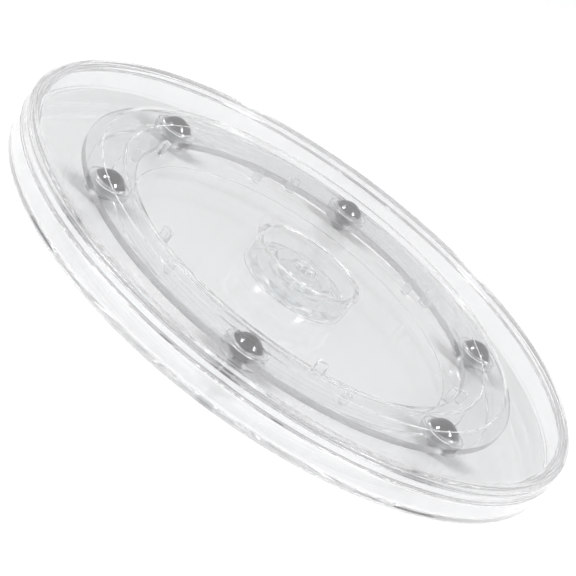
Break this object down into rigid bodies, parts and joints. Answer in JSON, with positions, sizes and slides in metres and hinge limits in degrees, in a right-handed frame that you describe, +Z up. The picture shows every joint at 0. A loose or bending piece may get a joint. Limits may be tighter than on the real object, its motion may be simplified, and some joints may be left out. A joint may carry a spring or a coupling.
{
  "type": "turntable display stand",
  "caption": "Clear round ball-bearing display turntable: a lipped disc that turns on steel balls in a cage ring over a matching base.",
  "frame": {"origin": "centre of the base's underside, on the turning axis, at the level of the surface that it stands on", "axes": "+Z up along the turning axis; +X and +Y lie in the plane of the disc"},
  "size_m": [0.2, 0.2, 0.0142],
  "materials": {
    "platter_clear": "water-clear moulded polystyrene, polished",
    "base_clear": "water-clear moulded polystyrene, polished",
    "cage_clear": "clear moulded plastic, polished",
    "hub_clear": "clear moulded plastic, polished",
    "steel_ball": "polished bearing steel"
  },
  "bodies": {
    "base": {"base_plate": "base_clear", "pivot_pin": "hub_clear"},
    "platter": {"top_plate": "platter_clear", "hub_disc": "hub_clear"},
    "cage": {"ball_cage": "cage_clear"},
    "ball_1": {"ball_1": "steel_ball"},
    "ball_2": {"ball_2": "steel_ball"},
    "ball_3": {"ball_3": "steel_ball"},
    "ball_4": {"ball_4": "steel_ball"},
    "ball_5": {"ball_5": "steel_ball"},
    "ball_6": {"ball_6": "steel_ball"}
  },
  "joints": [
    {"name": "platter_turn", "type": "hinge", "parent": "base", "child": "platter", "pos_m": [0, 0, 0.0092], "axis": [0, 0, 1], "continuous": true},
    {"name": "cage_turn", "type": "hinge", "parent": "base", "child": "cage", "pos_m": [0, 0, 0.0079], "axis": [0, 0, 1], "continuous": true},
    {"name": "ball_1_roll", "type": "hinge", "parent": "cage", "child": "ball_1", "pos_m": [0.06105, 0.03525, 0.0067], "axis": [0.866, 0.5, 0], "continuous": true},
    {"name": "ball_2_roll", "type": "hinge", "parent": "cage", "child": "ball_2", "pos_m": [0, 0.0705, 0.0067], "axis": [0, 1, 0], "continuous": true},
    {"name": "ball_3_roll", "type": "hinge", "parent": "cage", "child": "ball_3", "pos_m": [-0.06105, 0.03525, 0.0067], "axis": [-0.866, 0.5, 0], "continuous": true},
    {"name": "ball_4_roll", "type": "hinge", "parent": "cage", "child": "ball_4", "pos_m": [-0.06105, -0.03525, 0.0067], "axis": [-0.866, -0.5, 0], "continuous": true},
    {"name": "ball_5_roll", "type": "hinge", "parent": "cage", "child": "ball_5", "pos_m": [0, -0.0705, 0.0067], "axis": [0, -1, 0], "continuous": true},
    {"name": "ball_6_roll", "type": "hinge", "parent": "cage", "child": "ball_6", "pos_m": [0.06105, -0.03525, 0.0067], "axis": [0.866, -0.5, 0], "continuous": true}
  ],
  "couplings": [
    {"joint": "cage_turn", "follows": "platter_turn", "ratio": 0.5},
    {"joint": "ball_1_roll", "follows": "platter_turn", "ratio": -6.4091},
    {"joint": "ball_2_roll", "follows": "platter_turn", "ratio": -6.4091},
    {"joint": "ball_3_roll", "follows": "platter_turn", "ratio": -6.4091},
    {"joint": "ball_4_roll", "follows": "platter_turn", "ratio": -6.4091},
    {"joint": "ball_5_roll", "follows": "platter_turn", "ratio": -6.4091},
    {"joint": "ball_6_roll", "follows": "platter_turn", "ratio": -6.4091}
  ]
}
